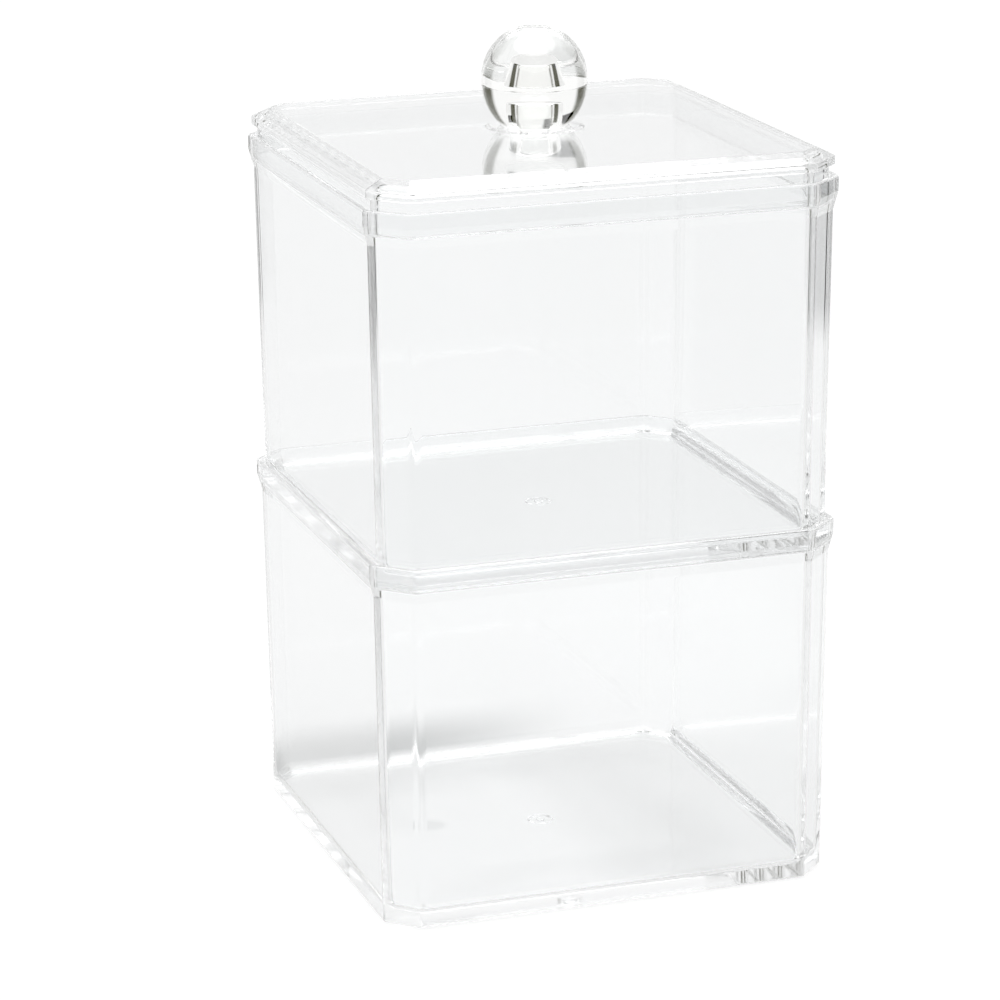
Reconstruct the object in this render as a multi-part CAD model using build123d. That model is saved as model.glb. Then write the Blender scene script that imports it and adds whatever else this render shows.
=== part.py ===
from build123d import *
import os
from math import sqrt

# A clear two-tier box for cotton pads: two like open bins, one standing in the other's rim,
# and a bevelled lid with a ball knob that drops into the upper bin.
# Every piece is moulded in clear plastic. Millimetres, +Z up, origin under the middle of the foot.

# Outline, shared by every level: a square with cut corners, given at the rim's outer face
rim_width = 92.0
rim_corner = 6.6  # leg of the cut corner
upright_round = 1.0  # rounding of the upright edges
inner_round = 2.6  # rounding of the upright edges inside the bins and the lid

# Bin
bin_height = 70.5
wall = 2.0
floor = 2.2
side_draft = 0.8  # how far each side leans in, from the flare down to the foot
rim_band = 2.9  # upright band round the mouth
flare_height = 3.7  # sloping part between the wall and the band
flare = 0.9  # how far the band stands out from the wall
ledge_depth = 4.5  # from the rim's top down to the ledge that carries the next piece
fit_gap = 0.35  # between the rim's inner face and what stands in it
foot_bevel = 0.6
floor_round = 2.2  # inside, where the floor meets the sides
lip_bevel = 0.4  # on both edges of the rim's top

# Gate mark, sunk in the underside of each bin
gate_dimple_diameter = 5.0
gate_dimple_depth = 0.6
gate_nub_diameter = 1.6
gate_nub_height = 0.35

# Lid
flange_inset = 0.7  # the flange's edge stands this far inside the rim's outer face
flange_edge = 1.8  # upright edge of the flange
bevel_run = 3.5
bevel_drop = 1.7
finger_gap = 1.8  # open space between the rim's top and the flange
lid_plate = 2.4
skirt_wall = 1.9
skirt_lead = 0.5  # chamfer round the skirt's lower edge
lid_corner_bevel = 1.4  # inside, where the skirt meets the plate
flange_bevel = 0.3

# Knob, a ball of two halves on a stud of the lid
ball_diameter = 20.2
shoulder = 1.2  # straight part of the upper half, above the seam, which makes the ball a little tall
top_flat_diameter = 7.2
foot_flat_diameter = 12.8
seat_diameter = 19.0  # low round seat on the lid
seat_height = 0.35
seat_slope = 0.9  # how far the seat's edge runs in as it rises
stud_diameter = 6.4
stud_height = 5.3
stud_gap = 0.2  # between the stud and its bore, all round and at its end
hollow_mouth_diameter = 7.4  # hollow of the upper half, open at the seam
hollow_end_diameter = 5.8
hollow_depth = 3.3
hollow_bevel = 0.2  # round the hollow's end
seam_groove = 0.15  # chamfer on each half along the seam

# A round piece is drawn standing on its level, with its axis on the box's own axis
STANDING = (Align.CENTER, Align.CENTER, Align.MIN)

# Levels and insets that follow
CORNER_RATE = 2 - sqrt(2)  # how fast the cut shrinks as the outline moves in
foot_inset = flare + side_draft
collar_inset = foot_inset - fit_gap
ledge_level = bin_height - ledge_depth
band_level = bin_height - rim_band
flare_level = band_level - flare_height
tier_pitch = ledge_level
flange_level = bin_height + finger_gap
bevel_level = flange_level + flange_edge
lid_top_level = bevel_level + bevel_drop
lid_inset = flange_inset + bevel_run
skirt_inset = foot_inset + skirt_wall
seam_height = sqrt((ball_diameter / 2) ** 2 - (foot_flat_diameter / 2) ** 2)
knob_level = tier_pitch + lid_top_level + seat_height


def outline(inset, level, rounding):
    """The cut-corner square, moved in from the rim's outer face and lifted to a level."""
    width = rim_width - 2 * inset
    square = Rectangle(width, width)
    cut = chamfer(square.vertices(), rim_corner - CORNER_RATE * inset)
    return Pos(0, 0, level) * fillet(cut.vertices(), rounding)


def between(*levels, rounding=upright_round):
    """A solid with straight sides through (inset, level) pairs, from the lowest to the highest."""
    return loft([outline(inset, level, rounding) for inset, level in levels], ruled=True)


def lowest_edges(shape):
    return shape.faces().sort_by(Axis.Z)[0].edges()


def highest_edges(shape):
    return shape.faces().sort_by(Axis.Z)[-1].edges()


def wall_inset(level):
    """Inset of the inner face below the ledge. It follows the draft of the outer face."""
    return flare + side_draft * (1 - level / flare_level) + wall


def bin_outside():
    body = between((foot_inset, 0), (flare, flare_level), (0, band_level), (0, bin_height))
    body = chamfer(lowest_edges(body), foot_bevel)
    return chamfer(highest_edges(body), lip_bevel)


def bin_inside():
    bottom = (wall_inset(floor), floor)
    mouth = (wall_inset(flare_level), ledge_level)
    well = between(bottom, mouth, rounding=inner_round)
    well = fillet(lowest_edges(well), floor_round)
    collar = between((collar_inset, ledge_level), (collar_inset, bin_height))
    lead_in = between((collar_inset, bin_height - lip_bevel), (collar_inset - lip_bevel, bin_height))
    return well + collar + lead_in


def gate_dimple():
    """The sunk ring left when the nub stands in its dimple."""
    dimple = Cylinder(gate_dimple_diameter / 2, gate_dimple_depth, align=STANDING)
    nub = Cylinder(gate_nub_diameter / 2, gate_nub_height, align=STANDING)
    return dimple - Pos(0, 0, gate_dimple_depth - gate_nub_height) * nub


def storage_bin():
    return bin_outside() - bin_inside() - gate_dimple()


def lid_cover():
    """Bevelled plate with its flange, and the skirt that stands on the upper bin's ledge."""
    skirt = between((foot_inset, ledge_level), (foot_inset, flange_level))
    skirt = chamfer(lowest_edges(skirt), skirt_lead)
    plate = between((flange_inset, flange_level), (flange_inset, bevel_level), (lid_inset, lid_top_level))
    plate = chamfer(lowest_edges(plate), flange_bevel)
    plate_under = lid_top_level - lid_plate
    hollow = between((skirt_inset, ledge_level), (skirt_inset, plate_under), rounding=inner_round)
    hollow = chamfer(highest_edges(hollow), lid_corner_bevel)
    return skirt + plate - hollow


def lid_stud():
    """The low seat under the ball and the stud that the ball is glued to."""
    seat = Cone(seat_diameter / 2, seat_diameter / 2 - seat_slope, seat_height, align=STANDING)
    stud = Cylinder(stud_diameter / 2, seat_height + stud_height, align=STANDING)
    stud = chamfer(highest_edges(stud), stud_gap * 2)
    return Pos(0, 0, lid_top_level) * (seat + stud)


def half_ball(pole_level):
    """Half a ball on one side of level 0, cut flat at its pole."""
    slab = Pos(0, 0, pole_level / 2) * Box(ball_diameter, ball_diameter, abs(pole_level))
    return Sphere(ball_diameter / 2) & slab


def with_groove(half):
    """Bevels the edge that lies on the seam, at level 0."""
    seam = half.edges().filter_by(lambda edge: abs(edge.center().Z) < 0.001)
    return chamfer(seam, seam_groove)


def knob_top_half():
    pole = sqrt((ball_diameter / 2) ** 2 - (top_flat_diameter / 2) ** 2)
    straight = Cylinder(ball_diameter / 2, shoulder, align=STANDING)
    half = straight + Pos(0, 0, shoulder) * half_ball(pole)
    hollow = Cone(hollow_mouth_diameter / 2, hollow_end_diameter / 2, hollow_depth, align=STANDING)
    hollow = chamfer(highest_edges(hollow), hollow_bevel)
    return Pos(0, 0, seam_height) * (with_groove(half) - hollow)


def knob_base_half():
    bore = Cylinder(stud_diameter / 2 + stud_gap, stud_height + stud_gap, align=STANDING)
    return Pos(0, 0, seam_height) * with_groove(half_ball(-seam_height)) - bore


def write(shape, name):
    export_step(shape, f"parts/{name}.step")
    print(name, round(shape.volume, 1), "mm3")


os.makedirs("parts", exist_ok=True)
write(storage_bin(), "lower_bin")
write(Pos(0, 0, tier_pitch) * storage_bin(), "upper_bin")
write(Pos(0, 0, tier_pitch) * (lid_cover() + lid_stud()), "lid")
write(Pos(0, 0, knob_level) * knob_base_half(), "knob_base_half")
write(Pos(0, 0, knob_level) * knob_top_half(), "knob_top_half")
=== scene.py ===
# %% [markdown]
# # A clear two-tier box for cotton pads
# Two like open bins stand one in the other, under a bevelled lid with a ball knob. All of it is clear
# plastic, so there is no colour to lean on: what the eye reads is the shape of every wall, lip and
# bevel, as it bends and mirrors the studio. The solids give the sizes. Here each piece is made again
# as a smooth closed mesh, because flat facets and loose triangles show at once in clear plastic.

# %% Load the solids
from math import atan2, cos, pi, radians, sin, sqrt, tan

import bpy
from mathutils import Matrix, Vector


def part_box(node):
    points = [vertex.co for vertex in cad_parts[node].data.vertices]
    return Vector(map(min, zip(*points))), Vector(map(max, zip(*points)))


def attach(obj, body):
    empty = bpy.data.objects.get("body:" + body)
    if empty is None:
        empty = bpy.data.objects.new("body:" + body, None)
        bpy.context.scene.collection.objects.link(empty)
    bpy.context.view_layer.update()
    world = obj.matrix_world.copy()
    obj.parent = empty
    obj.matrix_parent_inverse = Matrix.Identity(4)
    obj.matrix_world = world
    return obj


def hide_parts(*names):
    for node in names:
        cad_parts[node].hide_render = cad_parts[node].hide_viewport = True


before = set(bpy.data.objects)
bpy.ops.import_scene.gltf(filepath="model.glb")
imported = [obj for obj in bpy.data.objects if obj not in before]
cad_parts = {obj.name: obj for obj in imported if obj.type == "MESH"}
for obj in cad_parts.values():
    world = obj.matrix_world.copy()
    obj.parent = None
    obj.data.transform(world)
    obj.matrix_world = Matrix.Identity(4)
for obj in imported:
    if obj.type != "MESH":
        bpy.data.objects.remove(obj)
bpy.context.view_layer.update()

# %% [markdown]
# ## Sizes
# A script should hold each size once. The heights and widths of the pieces are read from the solids'
# own boxes, and only the small sizes of the section, such as a wall or a lip, are named here in
# millimetres. Every piece shares one outline: a square with cut corners, whose cut gets shorter as
# the outline moves inwards, so that the walls keep their thickness round the corner.

# %% Sizes
MM = 0.001


def node_box(node):
    """A node's lowest and highest corner, in millimetres."""
    return [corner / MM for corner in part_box(node)]


lower_low, lower_high = node_box("lower_bin")
upper_low, upper_high = node_box("upper_bin")
lid_low, lid_high = node_box("lid")
base_low, base_high = node_box("knob_base_half")
top_high = node_box("knob_top_half")[1]

rim_half = lower_high.x
rim_corner = 6.6
CORNER_RATE = 2 - sqrt(2)
bin_height = lower_high.z - lower_low.z
tier_pitch = upper_low.z
upright_round, inner_round = 1.0, 2.6
wall, floor_thickness = 2.0, 2.2
flare, side_draft = 0.9, 0.8
rim_band, flare_height, ledge_depth, fit_gap = 2.9, 3.7, 4.5, 0.35
foot_half = rim_half - flare - side_draft
finger_gap, flange_edge, bevel_run, bevel_drop = 1.8, 1.8, 3.5, 1.7
lid_top = upper_high.z + finger_gap + flange_edge + bevel_drop
REST_GAP = 0.03  # two clear faces in one place would leave the light no side to be on
print("bin:", round(bin_height, 2), "mm tall, rim", round(2 * rim_half, 2), "mm, pitch", round(tier_pitch, 2))

# %% [markdown]
# ## The camera
# The photograph was taken with a long lens from the front left and a little above. The camera goes
# first, so that every later piece can be judged through it. It is placed from a turn, a tilt and a
# distance, which are easier to think about than a matrix.

# %% Camera
PHOTO_TURN = radians(-18.45)


def studio_camera():
    tilt, roll = radians(16.04), radians(-0.51)
    distance, right_step, up_step = 764.1, -7.12, -11.79
    focal_pixels, picture_pixels, sensor = 3927.2, 1000, 36.0
    back = Vector((sin(PHOTO_TURN) * cos(tilt), -cos(PHOTO_TURN) * cos(tilt), sin(tilt)))
    level_right = (-back).cross(Vector((0, 0, 1))).normalized()
    level_up = level_right.cross(-back)
    right = level_right * cos(roll) + level_up * sin(roll)
    up = level_up * cos(roll) - level_right * sin(roll)
    aim = Vector((0, 0, 80))
    place = (aim + back * distance + right * right_step + up * up_step) * MM
    data = bpy.data.cameras.new("studio_camera")
    data.sensor_width, data.lens = sensor, sensor * focal_pixels / picture_pixels
    camera = bpy.data.objects.new("studio_camera", data)
    camera.matrix_world = Matrix.Translation(place) @ Matrix((right, up, back)).transposed().to_4x4()
    bpy.context.scene.collection.objects.link(camera)
    bpy.context.scene.camera = camera
    return camera


camera = studio_camera()
print("camera at", [round(v, 3) for v in camera.matrix_world.translation], "lens", round(camera.data.lens, 1))

# %% [markdown]
# ## Writing node trees as sums
# A node tree for shape or for finish is mostly arithmetic. One small class stands for a socket and
# overloads the usual signs, so a formula on sockets adds its Math nodes and stays readable. Every
# other node comes from one method, which sets the node's settings before its sockets.

# %% Sockets with arithmetic
class Wire:
    """A socket that takes part in sums."""

    def __init__(self, bench, socket):
        self.bench, self.socket = bench, socket

    def __add__(self, other):
        return self.bench.math("ADD", self, other)

    def __radd__(self, other):
        return self.bench.math("ADD", other, self)

    def __sub__(self, other):
        return self.bench.math("SUBTRACT", self, other)

    def __rsub__(self, other):
        return self.bench.math("SUBTRACT", other, self)

    def __mul__(self, other):
        return self.bench.math("MULTIPLY", self, other)

    def __rmul__(self, other):
        return self.bench.math("MULTIPLY", other, self)

    def __truediv__(self, other):
        return self.bench.math("DIVIDE", self, other)

    def __pow__(self, other):
        return self.bench.math("POWER", self, other)

    def __mod__(self, other):
        return self.bench.math("FLOORED_MODULO", self, other)

    def __neg__(self):
        return 0 - self

    def __abs__(self):
        return self.bench.math("ABSOLUTE", self)


class Bench:
    """Adds nodes to one tree."""

    def __init__(self, tree):
        self.tree = tree

    def node(self, kind, settings=None, inputs=None, output=0):
        made = self.tree.nodes.new(kind)
        for name, value in (settings or {}).items():
            if name == "stops":
                self.set_stops(made.color_ramp, value)
            else:
                setattr(made, name, value)
        for name, value in (inputs or {}).items():
            if isinstance(value, Wire):
                self.tree.links.new(value.socket, made.inputs[name])
            else:
                made.inputs[name].default_value = value
        return Wire(self, made.outputs[output]) if len(made.outputs) else made

    def set_stops(self, ramp, stops):
        while len(ramp.elements) > 1:
            ramp.elements.remove(ramp.elements[0])
        for place, value in stops:
            stop = ramp.elements[0] if place == stops[0][0] else ramp.elements.new(place)
            stop.position, stop.color = place, (value, value, value, 1)

    def math(self, operation, *values):
        return self.node("ShaderNodeMath", {"operation": operation}, dict(enumerate(values)))

    def larger(self, first, second):
        return self.math("MAXIMUM", first, second)

    def smaller(self, first, second):
        return self.math("MINIMUM", first, second)

    def soft_step(self, value, low, high):
        """0 below low, 1 above high, and a smooth way between."""
        return self.node("ShaderNodeMapRange", {"interpolation_type": "SMOOTHSTEP"},
                         {"Value": value, "From Min": low, "From Max": high})

    def soft_band(self, value, rise, fall):
        """1 between the rise and the fall, each given as where it starts and ends."""
        return self.soft_step(value, *rise) * (1 - self.soft_step(value, *fall))

    def ramp(self, value, stops):
        """A ramp from black to white, read as one number."""
        grey = self.node("ShaderNodeValToRGB", {"stops": stops}, {"Fac": value})
        return self.node("ShaderNodeRGBToBW", None, {"Color": grey})

    def mix_colours(self, share, first, second):
        """The colour sockets of a Mix node go by number, because several share one name."""
        return self.node("ShaderNodeMix", {"data_type": "RGBA"}, {0: share, 6: first, 7: second}, output=2)

    def vector(self, x, y, z):
        return self.node("ShaderNodeCombineXYZ", None, {"X": x, "Y": y, "Z": z})

    def parts(self, vector):
        """The X, Y and Z of a vector, as three wires."""
        split = self.node("ShaderNodeSeparateXYZ", None, {"Vector": vector}).socket.node
        return [Wire(self, output) for output in split.outputs]


# %% [markdown]
# ## One tree for every moulding
# Each piece is a stack of rings. A ring is an outline with a half width, a cut at each corner and a
# rounding, at some level. When the cut is 0.586 of the half width and the rounding is the half width,
# the outline is a circle, so the same rule draws a bin, a lid that runs up into a round stud, and a
# ball. The shape follows a rule from end to end, which is what Geometry Nodes are for: a grid is bent
# into the rings, and its seam and its poles are merged.
#
# The rule for a ring: eight sides face 0, 45, 90 degrees and so on, and the side that faces step k
# lies at the half width, or for a cut at (2 half - cut) / sqrt(2). An arc joins each side to the next.
# A column of points lies just beyond each end of an arc, so that the long flat sides shade flat.

# %% The ring tree
SIDES = 8
ARC = 2 * pi / SIDES
HUG = 0.12 * MM  # how far the extra columns lie from an arc's end
HUG_SHARE = 0.25  # but never more than this share of a short side
SEAM = 0.002 * MM  # points that are nearer than this become one


def ring_tree():
    tree = bpy.data.node_groups.new("ring_moulding", "GeometryNodeTree")
    new_socket = tree.interface.new_socket
    new_socket("Section", in_out="INPUT", socket_type="NodeSocketGeometry")
    new_socket("Steps per Corner", in_out="INPUT", socket_type="NodeSocketInt")
    new_socket("Finish", in_out="INPUT", socket_type="NodeSocketMaterial")
    new_socket("Moulding", in_out="OUTPUT", socket_type="NodeSocketGeometry")
    bench = Bench(tree)
    entry = tree.nodes.new("NodeGroupInput")
    section, steps, finish = (
        Wire(bench, entry.outputs[name]) for name in ("Section", "Steps per Corner", "Finish"))
    levels = bench.node("GeometryNodeAttributeDomainSize", {"component": "MESH"}, {"Geometry": section})
    per_corner = steps + 3
    columns = SIDES * per_corner
    grid = bench.node("GeometryNodeMeshGrid", None,
                      {"Size X": 1.0, "Size Y": 1.0, "Vertices X": columns + 1, "Vertices Y": levels})
    across, along, _ = bench.parts(bench.node("GeometryNodeInputPosition"))
    column = bench.math("ROUND", (across + 0.5) * columns)
    level = bench.math("ROUND", (along + 0.5) * (levels - 1))

    def at_level(kind, value):
        return bench.node("GeometryNodeSampleIndex", {"data_type": kind, "domain": "POINT"},
                          {"Geometry": section, "Value": value, "Index": level})

    rounding = at_level("FLOAT", bench.node(
        "GeometryNodeInputNamedAttribute", {"data_type": "FLOAT"}, {"Name": "rounding"}))
    half, cut, height = bench.parts(at_level("FLOAT_VECTOR", bench.node("GeometryNodeInputPosition")))

    corner = bench.math("FLOOR", column / per_corner) % SIDES
    step = column % per_corner - 1
    on_arc = bench.smaller(bench.larger(step, 0.0), steps)
    beyond = step - on_arc
    facing = ARC * corner
    swung = facing + ARC * on_arc / steps
    slant = (2 * half - cut) / sqrt(2)
    is_cut = corner % 2
    here = half + (slant - half) * is_cut - rounding
    there = slant + (half - slant) * is_cut - rounding
    aside = sqrt(2) * there - here
    short_side = sqrt(2) * cut - 2 * tan(ARC / 2) * rounding
    hug = bench.smaller(HUG, HUG_SHARE * bench.larger(short_side, 0.0)) * beyond
    cos_f, sin_f = bench.math("COSINE", facing), bench.math("SINE", facing)
    cos_s, sin_s = bench.math("COSINE", swung), bench.math("SINE", swung)
    x = here * cos_f - aside * sin_f + rounding * cos_s - hug * sin_s
    y = here * sin_f + aside * cos_f + rounding * sin_s + hug * cos_s

    bent = bench.node("GeometryNodeSetPosition", None,
                      {"Geometry": grid, "Position": bench.vector(x, y, height)})
    closed = bench.node("GeometryNodeMergeByDistance", None, {"Geometry": bent, "Distance": SEAM})
    smooth = bench.node("GeometryNodeSetShadeSmooth", None, {"Geometry": closed, "Shade Smooth": True})
    real = bench.node("GeometryNodeRealizeInstances", None, {"Geometry": smooth})
    done = bench.node("GeometryNodeSetMaterial", None, {"Geometry": real, "Material": finish})
    leave = tree.nodes.new("NodeGroupOutput")
    tree.links.new(done.socket, leave.inputs["Moulding"])
    return tree


moulding_tree = ring_tree()
print("ring tree:", len(moulding_tree.nodes), "nodes")

# %% [markdown]
# ## From a section to a piece
# A section is the line that a saw would show on one side of the axis, from the axis underneath, round
# the outside, and back to the axis above. It is written as a few corners, each with its own rounding,
# because no moulded edge is knife sharp, and it is the rounded edges that catch the light. Extra
# levels lie beside each rounding for the same reason as the extra columns. A smooth mesh blends its
# normals from ring to ring, and in clear plastic a wrong normal is a lens that isn't there.

# %% Sections
def squared(half, level, ease, rounding=upright_round):
    """A corner of the section that belongs to the cut-corner outline."""
    return {"at": Vector((half, level)), "ease": ease, "round": False, "rounding": rounding}


def turned(radius, level, ease=0.0):
    """A corner of the section that belongs to a round part."""
    return {"at": Vector((radius, level)), "ease": ease, "round": True, "rounding": radius}


def ring(corner, place):
    """A ring at a place of the section: half width, cut, level and rounding, in millimetres."""
    half = max(place.x, 0.0)
    if corner["round"]:
        return (half, CORNER_RATE * half, place.y, half)
    return (half, rim_corner - CORNER_RATE * (rim_half - half), place.y, corner["rounding"])


def eased(corners, arc_steps=5, beside=0.12):
    """The rings of a section, with each corner rounded by its own radius, its ease.

    An ease of 0 keeps the corner sharp, and an ease of None marks a plain point of a curve.
    """
    nearly_straight = pi - 0.01
    rings = []
    for number, corner in enumerate(corners):
        at = corner["at"]
        if number in (0, len(corners) - 1) or corner["ease"] is None:
            rings.append(ring(corner, at))
            continue
        before = corners[number - 1]["at"] - at
        after = corners[number + 1]["at"] - at
        into, out = before.normalized(), after.normalized()
        bend = into.angle(out)
        reach = corner["ease"] / tan(bend / 2)
        far = reach + beside
        if corner["ease"] <= 0 or bend > nearly_straight:
            near = [min(beside, side.length / 3) for side in (before, after)]
            spots = [at + into * near[0], at, at + out * near[1]]
        else:
            middle = at + (into + out).normalized() * (corner["ease"] / sin(bend / 2))
            start = at + into * reach - middle
            spots = [at + into * min(far, (reach + before.length) / 2)]
            spin = start.angle_signed(at + out * reach - middle)
            for index in range(arc_steps + 1):
                angle = -spin * index / arc_steps
                spots.append(middle + Matrix.Rotation(angle, 2) @ start)
            spots.append(at + out * min(far, (reach + after.length) / 2))
        rings += [ring(corner, spot) for spot in spots]
    return rings


def moulding(name, rings, finish, steps=6):
    """Bends the rings into a closed mesh object."""
    mesh = bpy.data.meshes.new(name)
    line = [(index, index + 1) for index in range(len(rings) - 1)]
    mesh.from_pydata([Vector((half, cut, level)) * MM for half, cut, level, _ in rings], line, [])
    rounding = mesh.attributes.new("rounding", "FLOAT", "POINT")
    rounding.data.foreach_set("value", [radius * MM for *_, radius in rings])
    section = bpy.data.objects.new(name + "_section", mesh)
    bpy.context.scene.collection.objects.link(section)
    modifier = section.modifiers.new("rings", "NODES")
    modifier.node_group = moulding_tree
    sockets = {item.name: item.identifier for item in moulding_tree.interface.items_tree}
    modifier[sockets["Steps per Corner"]] = steps
    modifier[sockets["Finish"]] = finish
    shown = section.evaluated_get(bpy.context.evaluated_depsgraph_get())
    piece = bpy.data.objects.new(name, bpy.data.meshes.new_from_object(shown))
    bpy.context.scene.collection.objects.link(piece)
    section.modifiers.remove(modifier)
    bpy.data.objects.remove(section)
    return piece


def volume(piece):
    """The volume inside a closed mesh, in cubic millimetres. It is negative if the faces look inwards."""
    mesh = piece.data
    mesh.calc_loop_triangles()
    corners = [[mesh.vertices[v].co for v in triangle.vertices] for triangle in mesh.loop_triangles]
    return sum(a.dot(b.cross(c)) for a, b, c in corners) / 6 / MM ** 3


# %% [markdown]
# ## The finish: clear polystyrene
# Clear plastic takes its look from what it bends and mirrors, so its material is mostly restraint. The
# mould's polish leaves broad, very low waves that make reflections wander, the plastic is a trace grey
# and clouds a little where it flowed, and hairline scuffs from handling catch the light. The waves and
# scuffs go through a Bump node, and the clouding through the colour, while roughness and the index
# of refraction stay plain numbers on the shader.

# %% Clear plastic
# a duller grey: it paints shade, a shadow and a reflection low in the lower bin, and greys the lid's bars
SHADE_AND_BAR_TINT = (0.55, 0.56, 0.56, 1)


def clear_plastic(name, tint, cloud_tint, wave_height=0.0012, marks=None, painted_shade_and_bars=None):
    """Marks adds to the height, in millimetres, and the last argument is the share of a duller tint: painted
    shade low in the lower bin, and grey bars on the lid.
    """
    index, roughness, scuff_height = 1.57, 0.02, 0.0006
    material = bpy.data.materials.new(name)
    material.use_nodes = True
    material.node_tree.nodes.clear()
    bench = Bench(material.node_tree)
    place = bench.node("ShaderNodeTexCoord", output="Object")
    flow = bench.node("ShaderNodeMapping", None, {"Vector": place, "Scale": (1.0, 1.0, 0.45)})
    waves = bench.node("ShaderNodeTexNoise", None,
                       {"Vector": flow, "Scale": 55.0, "Detail": 1.0, "Roughness": 0.4})
    clouds = bench.node("ShaderNodeTexNoise", None,
                        {"Vector": flow, "Scale": 30.0, "Detail": 3.0, "Roughness": 0.6})
    scratch_place = bench.node("ShaderNodeMapping", None,
                               {"Vector": place, "Rotation": (0.4, 0.7, 0.5), "Scale": (1.0, 14.0, 1.0)})
    scratches = bench.node("ShaderNodeTexNoise", None,
                           {"Vector": scratch_place, "Scale": 320.0, "Detail": 2.0})
    scuff = bench.ramp(scratches, [(0.62, 0.0), (0.75, 1.0)])
    height = waves * wave_height + scuff * scuff_height
    if marks:
        height = height + marks(bench, place)
    bump = bench.node("ShaderNodeBump", None, {"Height": height, "Strength": 1.0, "Distance": MM})
    cloud_share = bench.ramp(clouds, [(0.35, 0.0), (0.7, 1.0)])
    colour = bench.mix_colours(cloud_share, (*tint, 1), (*cloud_tint, 1))
    # mixes in the duller tint: painted shade, a shadow and a reflection low in the lower bin, grey bars on
    # the lid
    if painted_shade_and_bars:
        colour = bench.mix_colours(painted_shade_and_bars(bench, place), colour, SHADE_AND_BAR_TINT)
    plastic = bench.node("ShaderNodeBsdfPrincipled", None, {
        "Base Color": colour, "Normal": bump, "Roughness": roughness, "IOR": index,
        "Transmission Weight": 1.0, "Metallic": 0.0})
    bench.node("ShaderNodeOutputMaterial", None, {"Surface": plastic})
    return material


# %% [markdown]
# ## Painted shade in the bin, and the mould's bars
# Three soft greys low in the bottom bin are painted light and shade, not marks on the plastic: a painted
# reflection of the dark card up the back wall on the left, one round painted shadow in the floor, and a
# broad ring of painted shade underneath. They are a share of a duller tint, placed in millimetres. Along the
# left and right bevels of the lid run short slanted bars, as a cutter leaves them in a mould: a wave in the
# height bends the light, and the same wave darkens every other bar.

# %% Haze and bars
def millimetres(bench, place):
    x, y, z = bench.parts(place)
    return x / MM, y / MM, z / MM


def outwards(bench, x, y):
    """How far out a place lies, measured square to the sides."""
    return bench.larger(abs(x), abs(y))


def foot_painted_shade(bench, place):
    """Painted shade under the lower bin in a broad ring, one round painted shadow, and a painted reflection
    of a dark card low down at the back.
    """
    shade_ring_share, shadow_spot_share, card_reflection_share = 0.2, 0.5, 0.85
    spot_x, spot_y = -21.4, 4.0
    x, y, z = millimetres(bench, place)
    underneath = 1 - bench.soft_step(z, 1.0, 2.6)
    blotches = bench.node("ShaderNodeTexNoise", None, {"Vector": place, "Scale": 26.0, "Detail": 1.0})
    # painted shade: a broad, blotchy ring under the floor of the lower bin
    shade_ring = bench.soft_band(outwards(bench, x, y), (18, 27), (29, 37)) * underneath
    shade_ring = shade_ring * bench.soft_step(blotches, 0.40, 0.60)
    # a round painted shadow in the floor
    from_spot = ((x - spot_x) ** 2 + (y - spot_y) ** 2) ** 0.5
    spot = (1 - bench.soft_step(from_spot, 1.2, 3.8)) * underneath
    # a painted reflection of the dark card, low on the back wall at the left
    card_reflection = bench.soft_step(y, 24, 38) * (1 - bench.soft_step(x, -20, 28))
    card_reflection = card_reflection * bench.soft_band(z, (2.4, 3.6), (5, 13))
    return shade_ring_share * shade_ring + shadow_spot_share * spot + card_reflection_share * card_reflection


def bevel_strip(bench, place):
    """1 along the two bevels that face left and right, beside the flat of the lid."""
    flat_half = lid_high.x - bevel_run
    bevel_foot = upper_high.z + finger_gap + flange_edge
    x, _, z = millimetres(bench, place)
    strip = bench.soft_band(abs(x), (flat_half, flat_half + 0.4), (flat_half + 1.6, flat_half + 2.1))
    return strip * bench.soft_step(z, bevel_foot, bevel_foot + 0.2)


def cutter_wave(bench, place):
    """Runs from -1 to 1 along the strip, slanted a little, as the mould's cutter went."""
    wave_length, slant = 6.6, 0.8
    x, y, _ = millimetres(bench, place)
    return bench.math("SINE", (y + slant * abs(x)) * (2 * pi / wave_length))


def bevel_marks(bench, place):
    """The height of the bars."""
    wave_height = 0.018
    return wave_height * cutter_wave(bench, place) * bevel_strip(bench, place)


def bevel_bars(bench, place):
    """How grey the bars are: a little all along, and more in every other one."""
    all_along, in_bars = 0.12, 0.3
    bars = bench.soft_step(cutter_wave(bench, place), -0.5, 0.5)
    return (all_along + in_bars * bars) * bevel_strip(bench, place)


# low in the lower bin, the duller tint paints shade, one shadow and a reflection of the dark card
bin_plastic = clear_plastic("clear_bin_plastic", (0.964, 0.969, 0.971), (0.956, 0.962, 0.963),
                            painted_shade_and_bars=foot_painted_shade)
lid_plastic = clear_plastic("clear_lid_plastic", (0.966, 0.971, 0.973), (0.958, 0.963, 0.964),
                            marks=bevel_marks, painted_shade_and_bars=bevel_bars)
knob_plastic = clear_plastic("clear_knob_plastic", (0.97, 0.972, 0.962), (0.96, 0.962, 0.948),
                             wave_height=0.001)
print("finishes:", bin_plastic.name, lid_plastic.name, knob_plastic.name)

# %% [markdown]
# ## The bins
# Both bins come from one mould: a flat foot with the sunk gate mark in its middle, sides that lean
# out a little so that the piece leaves its mould, a flare and an upright band round the mouth, and
# inside the band a ledge for the foot of the next piece. The floor meets the sides in a round corner.
# A foot stands a hair above the ledge under it: where two clear faces lie in one place, the light
# can't tell which side it is on, and the spot goes black.

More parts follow.
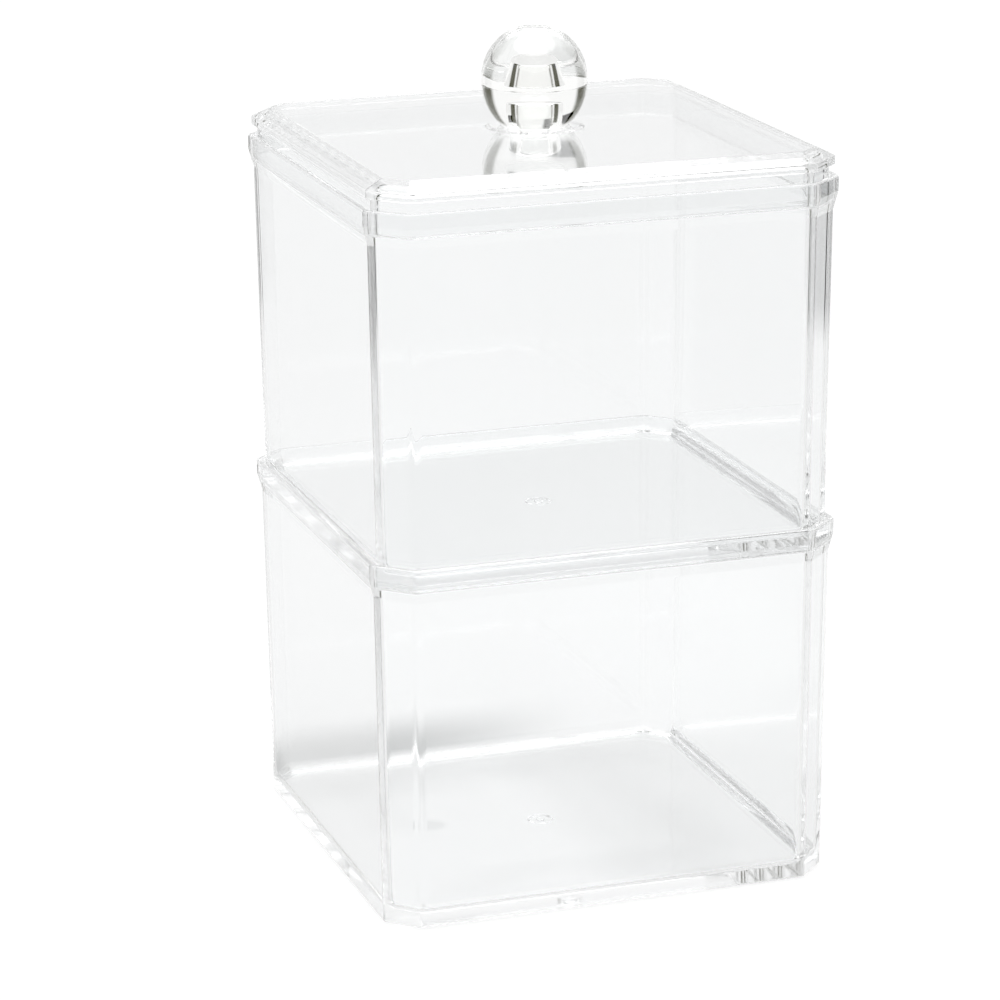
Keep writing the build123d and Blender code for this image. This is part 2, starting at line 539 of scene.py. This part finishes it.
# %% Bins
def bin_section(foot):
    gate_radius, gate_depth, nub_radius, nub_height = 2.5, 0.6, 0.8, 0.35
    lip_ease, floor_ease = 0.4, 2.2
    band = foot + bin_height - rim_band
    collar_half = foot_half + fit_gap
    ledge = foot + bin_height - ledge_depth
    well_top = rim_half - flare - wall
    lean = side_draft * (1 - floor_thickness / (bin_height - rim_band - flare_height))
    return [
        turned(0, foot + gate_depth - nub_height),
        turned(nub_radius, foot + gate_depth - nub_height, 0.1),
        turned(nub_radius, foot + gate_depth, 0.1),
        turned(gate_radius, foot + gate_depth, 0.15),
        turned(gate_radius, foot + REST_GAP, 0.15),
        squared(foot_half, foot + REST_GAP, 0.6),
        squared(rim_half - flare, band - flare_height, 1.6),
        squared(rim_half, band, 1.2),
        squared(rim_half, foot + bin_height, 0.45),
        squared(collar_half, foot + bin_height, lip_ease),
        squared(collar_half, ledge, 0.2),
        squared(well_top, ledge, 0.4, inner_round),
        squared(well_top - lean, foot + floor_thickness, floor_ease, inner_round),
        turned(rim_half / 2, foot + floor_thickness),
        turned(0, foot + floor_thickness),
    ]


bins = {}
for name, foot in (("lower_bin", 0.0), ("upper_bin", tier_pitch)):
    bins[name] = moulding(name + "_clear", eased(bin_section(foot)), bin_plastic)
    print(name, len(bins[name].data.polygons), "faces,", round(volume(bins[name])), "mm3")

# %% [markdown]
# ## The lid
# The lid is a bevelled plate with a flange that overhangs a skirt. The skirt stands on the ledge of
# the upper bin and keeps the flange a little above the rim, so that a fingertip finds the edge. A low
# round seat and a stud for the ball rise from the middle of the plate: all one moulding, so it is all
# one mesh.

# %% Lid
def lid_section():
    flange_half, plate, skirt_wall = lid_high.x, 2.4, 1.9
    seat_radius, seat_slope, stud_radius = 9.5, 0.9, 3.2
    seat_level = base_low.z
    skirt_foot = lid_low.z + REST_GAP
    flange_level = upper_high.z + finger_gap
    skirt_inner = foot_half - skirt_wall
    return [
        turned(0, lid_top - plate),
        turned(rim_half / 2, lid_top - plate),
        squared(skirt_inner, lid_top - plate, 1.4, inner_round),
        squared(skirt_inner, skirt_foot, 0.3, inner_round),
        squared(foot_half, skirt_foot, 0.5),
        squared(foot_half, flange_level, 0.25),
        squared(flange_half, flange_level, 0.3),
        squared(flange_half, flange_level + flange_edge, 0.25),
        squared(flange_half - bevel_run, lid_top, 0.25),
        turned(rim_half / 2, lid_top),
        turned(seat_radius, lid_top, 0.15),
        turned(seat_radius - seat_slope, seat_level, 0.2),
        turned(stud_radius, seat_level, 0.15),
        turned(stud_radius, lid_high.z, 0.3),
        turned(0, lid_high.z),
    ]


lid = moulding("lid_clear", eased(lid_section()), lid_plastic, steps=8)
print("lid", len(lid.data.polygons), "faces,", round(volume(lid)), "mm3")

# %% [markdown]
# ## The ball knob
# The knob is a ball of two half balls, so its section is an arc with a fine groove at the seam. The
# lower half has a bore for the stud and the upper half a tapered hollow. Seen from the side, light
# that meets these hollows inside the plastic is mirrored as if by metal, and that draws the dark
# upright strips which make the ball look alive. An arc stops a little short of each sharp corner,
# which brings its own rings.

# %% Knob
ball_radius = base_high.x
seam_level = base_high.z
shoulder = 1.2


def ball_arc(middle, from_level, to_level, count):
    """Corners along the outline of a ball about a middle level, between two levels measured from it."""
    start, end = (atan2(z, sqrt(ball_radius ** 2 - z ** 2)) for z in (from_level, to_level))
    angles = [start + (end - start) * index / count for index in range(count + 1)]
    return [turned(ball_radius * cos(angle), middle + ball_radius * sin(angle), None) for angle in angles]


def knob_outline():
    """Round the outside, from the bore of the foot to the flat on top, with the groove at the seam."""
    bore_radius, bore_depth, groove = 3.4, 5.5, 0.05
    short_of_edge, short_of_flat = 0.3, 0.2
    under_middle = 0.2  # the upper arc's first point is left out, so it starts just above its middle
    lower_points, upper_points = 30, 36
    foot, bore_end = base_low.z + REST_GAP, base_low.z + bore_depth
    foot_radius = sqrt(ball_radius ** 2 - (seam_level - base_low.z) ** 2)
    top_middle = seam_level + shoulder
    pole = top_high.z - top_middle
    pole_radius = sqrt(ball_radius ** 2 - pole ** 2)
    return [
        turned(0, bore_end),
        turned(bore_radius, bore_end, 0.3),
        turned(bore_radius, foot, 0.1),
        turned(foot_radius, foot, 0.2),
        *ball_arc(seam_level, base_low.z - seam_level + short_of_edge, -short_of_edge, lower_points),
        turned(ball_radius, seam_level - groove),
        turned(ball_radius - groove, seam_level),
        turned(ball_radius, seam_level + groove),
        *ball_arc(top_middle, -under_middle, pole - short_of_flat, upper_points)[1:],
        turned(pole_radius, top_high.z, 0.3),
        turned(0, top_high.z),
    ]


def knob_hollow():
    """The tapered hollow shut in at the seam. It is drawn downwards, so that its faces look into it."""
    mouth_radius, end_radius, depth = 3.7, 2.9, 3.3
    return [
        turned(0, seam_level + depth),
        turned(end_radius, seam_level + depth, 0.2),
        turned(mouth_radius, seam_level, 0.1),
        turned(0, seam_level),
    ]


def joined(name, pieces):
    """One object of several closed meshes."""
    with bpy.context.temp_override(active_object=pieces[0], selected_editable_objects=pieces):
        bpy.ops.object.join()
    pieces[0].name = name
    return pieces[0]


knob = joined("knob_clear", [
    moulding("knob_outline", eased(knob_outline()), knob_plastic, steps=14),
    moulding("knob_hollow", eased(knob_hollow()), knob_plastic, steps=14),
])
print("knob", len(knob.data.polygons), "faces,", round(volume(knob)), "mm3")

# %% [markdown]
# ## The studio floor
# Clear plastic shows its surroundings, so the studio is part of the finish. Directions are measured
# from where the photograph was taken: to the side, and away. The floor is pale and lights itself, and
# it is a little brighter under the left of the box, as in the photograph. Two dark cards stand far
# off at the left and right, because dark stripes are what draws the edges of anything clear. On the
# floor, the cards and some dimming are there only for light that a clear face has mirrored on its
# way, which the Light Path node tells. The floor that the camera sees past the box stays plain.

# %% Floor
def side_and_away(bench, place):
    """How far a place lies to the side and away, as seen from where the photograph was taken."""
    x, y, z = bench.parts(place)
    return x * cos(PHOTO_TURN) + y * sin(PHOTO_TURN), y * cos(PHOTO_TURN) - x * sin(PHOTO_TURN), z


def side_cards(bench, bearing):
    """1 where the two dark cards stand, well to the left and right of what lies straight ahead."""
    return bench.soft_band(abs(bearing), (radians(40), radians(50)), (radians(71), radians(79)))


def mirrored_rays(bench):
    """1 for light that a clear face has mirrored on its way, else 0."""
    return bench.smaller(bench.node("ShaderNodeLightPath", output="Glossy Depth"), 1.0)


def light_pool(bench, place):
    """Brighter paper under the left of the foot, and a soft dimmer band to the right of it."""
    brighter, dimmer = 0.09, 0.035
    x, y, _ = millimetres(bench, place)
    pool = brighter * (1 - bench.soft_step(x, -2, 12)) - dimmer * bench.soft_band(x, (12, 21), (23, 32))
    return pool * (1 - bench.soft_step(outwards(bench, x, y), 40, 44))


def pale_floor():
    """A pale floor. What the plastic mirrors of it is dimmer to the sides and in front."""
    reach, level = 4.0, -0.0002
    floor_glow, far_loss, paper_tone = 0.90, 0.02, 0.1
    card_dim, front_dim, beside_dim = 0.95, 0.3, 0.14
    mesh = bpy.data.meshes.new("studio_floor")
    corners = [(x * reach, y * reach, level) for x, y in ((-1, -1), (1, -1), (1, 1), (-1, 1))]
    mesh.from_pydata(corners, [], [(0, 1, 2, 3)])
    floor = bpy.data.objects.new("studio_floor", mesh)
    bpy.context.scene.collection.objects.link(floor)
    material = bpy.data.materials.new("pale_floor")
    material.use_nodes = True
    material.node_tree.nodes.clear()
    bench = Bench(material.node_tree)
    place = bench.node("ShaderNodeTexCoord", output="Object")
    side, away, _ = side_and_away(bench, place)
    bearing = bench.math("ARCTAN2", side, away)
    distance = (side * side + away * away) ** 0.5
    cards = side_cards(bench, bearing) * bench.soft_step(distance, 0.42, 0.5)
    front = bench.soft_step(-away, 0.08, 0.3)
    beside = bench.soft_step(abs(bearing), radians(22), radians(36))
    dim = bench.larger(card_dim * cards, bench.larger(front_dim * front, beside_dim * beside))
    kept = 1 - dim * mirrored_rays(bench)
    far = bench.soft_step(distance, 0.15, 0.45)
    glow = (floor_glow - far_loss * far + light_pool(bench, place)) * kept
    tone = paper_tone * kept
    paper = bench.node("ShaderNodeBsdfPrincipled", None, {
        "Base Color": bench.vector(tone, tone, tone), "Roughness": 0.9, "Specular IOR Level": 0.0,
        "Emission Color": bench.vector(glow, glow, glow), "Emission Strength": 1.0})
    bench.node("ShaderNodeOutputMaterial", None, {"Surface": paper})
    mesh.materials.append(material)
    return floor


studio_floor = pale_floor()
print("floor:", [round(edge, 1) for edge in studio_floor.dimensions], "m")

# %% [markdown]
# ## The room
# The room is one even white, with the same two cards standing up from the floor. A soft box overhead
# turns the bevels white, a smaller card at the upper left gives the ball its crescents, and low down
# the room is a shade dimmer for mirrored light, which gives the walls their faint grey. Each of these
# is a range of directions. The camera itself sees plain white.
#
# Light crosses many clear faces before it leaves the box, so the scene allows it many bounces. With
# few, the places where it is trapped for a while would go black.

# %% Room
def studio_room():
    card_dim, low_dim, box_light, card_warmth = 0.95, 0.11, 2.6, 0.03
    world = bpy.data.worlds.new("studio_room")
    bpy.context.scene.world = world
    world.use_nodes = True
    world.node_tree.nodes.clear()
    bench = Bench(world.node_tree)
    side, away, z = side_and_away(bench, bench.node("ShaderNodeTexCoord", output="Generated"))
    bearing = bench.math("ARCTAN2", side, away)
    seen = bench.node("ShaderNodeLightPath", output="Is Camera Ray")
    cards = side_cards(bench, bearing) * (1 - bench.soft_step(z, 0.62, 0.75))
    left_card = bench.soft_band(-bearing, (radians(8), radians(14)), (radians(43), radians(53)))
    left_card = left_card * bench.soft_band(z, (0.38, 0.42), (0.6, 0.7))
    low_down = (1 - bench.soft_step(z, 0.3, 0.4)) * mirrored_rays(bench) * (1 - cards)
    box = bench.soft_step(z, 0.80, 0.86)
    level = 1 - card_dim * cards - card_dim * left_card - low_dim * low_down + box_light * box
    level = level + (1 - level) * seen
    warm = level - card_warmth * cards * (1 - seen)
    light = bench.node("ShaderNodeBackground", None,
                       {"Color": bench.vector(level, level, warm), "Strength": 1.0})
    bench.node("ShaderNodeOutputWorld", None, {"Surface": light})
    return world


room = studio_room()
bpy.context.scene.view_settings.view_transform = "Standard"
light_paths = bpy.context.scene.cycles
light_paths.max_bounces = light_paths.transmission_bounces = light_paths.glossy_bounces = 96
light_paths.diffuse_bounces = 3
print("room:", len(room.node_tree.nodes), "nodes, bounces", light_paths.max_bounces)

# %% [markdown]
# ## Putting the pieces on their bodies
# The lower bin stands still, the upper bin lifts out of it, and the lid lifts off with its knob. Each
# clear piece stands for the solid of the same name and moves with that solid's body. The ball is one
# object and stands for both of its halves.

# %% Bodies
for piece, node, body, finish in (
    (bins["lower_bin"], "lower_bin", "lower_tier", "clear_moulding"),
    (bins["upper_bin"], "upper_bin", "upper_tier", "clear_moulding"),
    (lid, "lid", "cover", "clear_lid"),
):
    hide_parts(node)
    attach(piece, body)
    print(piece.name, "stands for", node, "and rides on", body)
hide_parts("knob_base_half", "knob_top_half")
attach(knob, "cover")
print(knob.name, "stands for both halves and rides on cover")
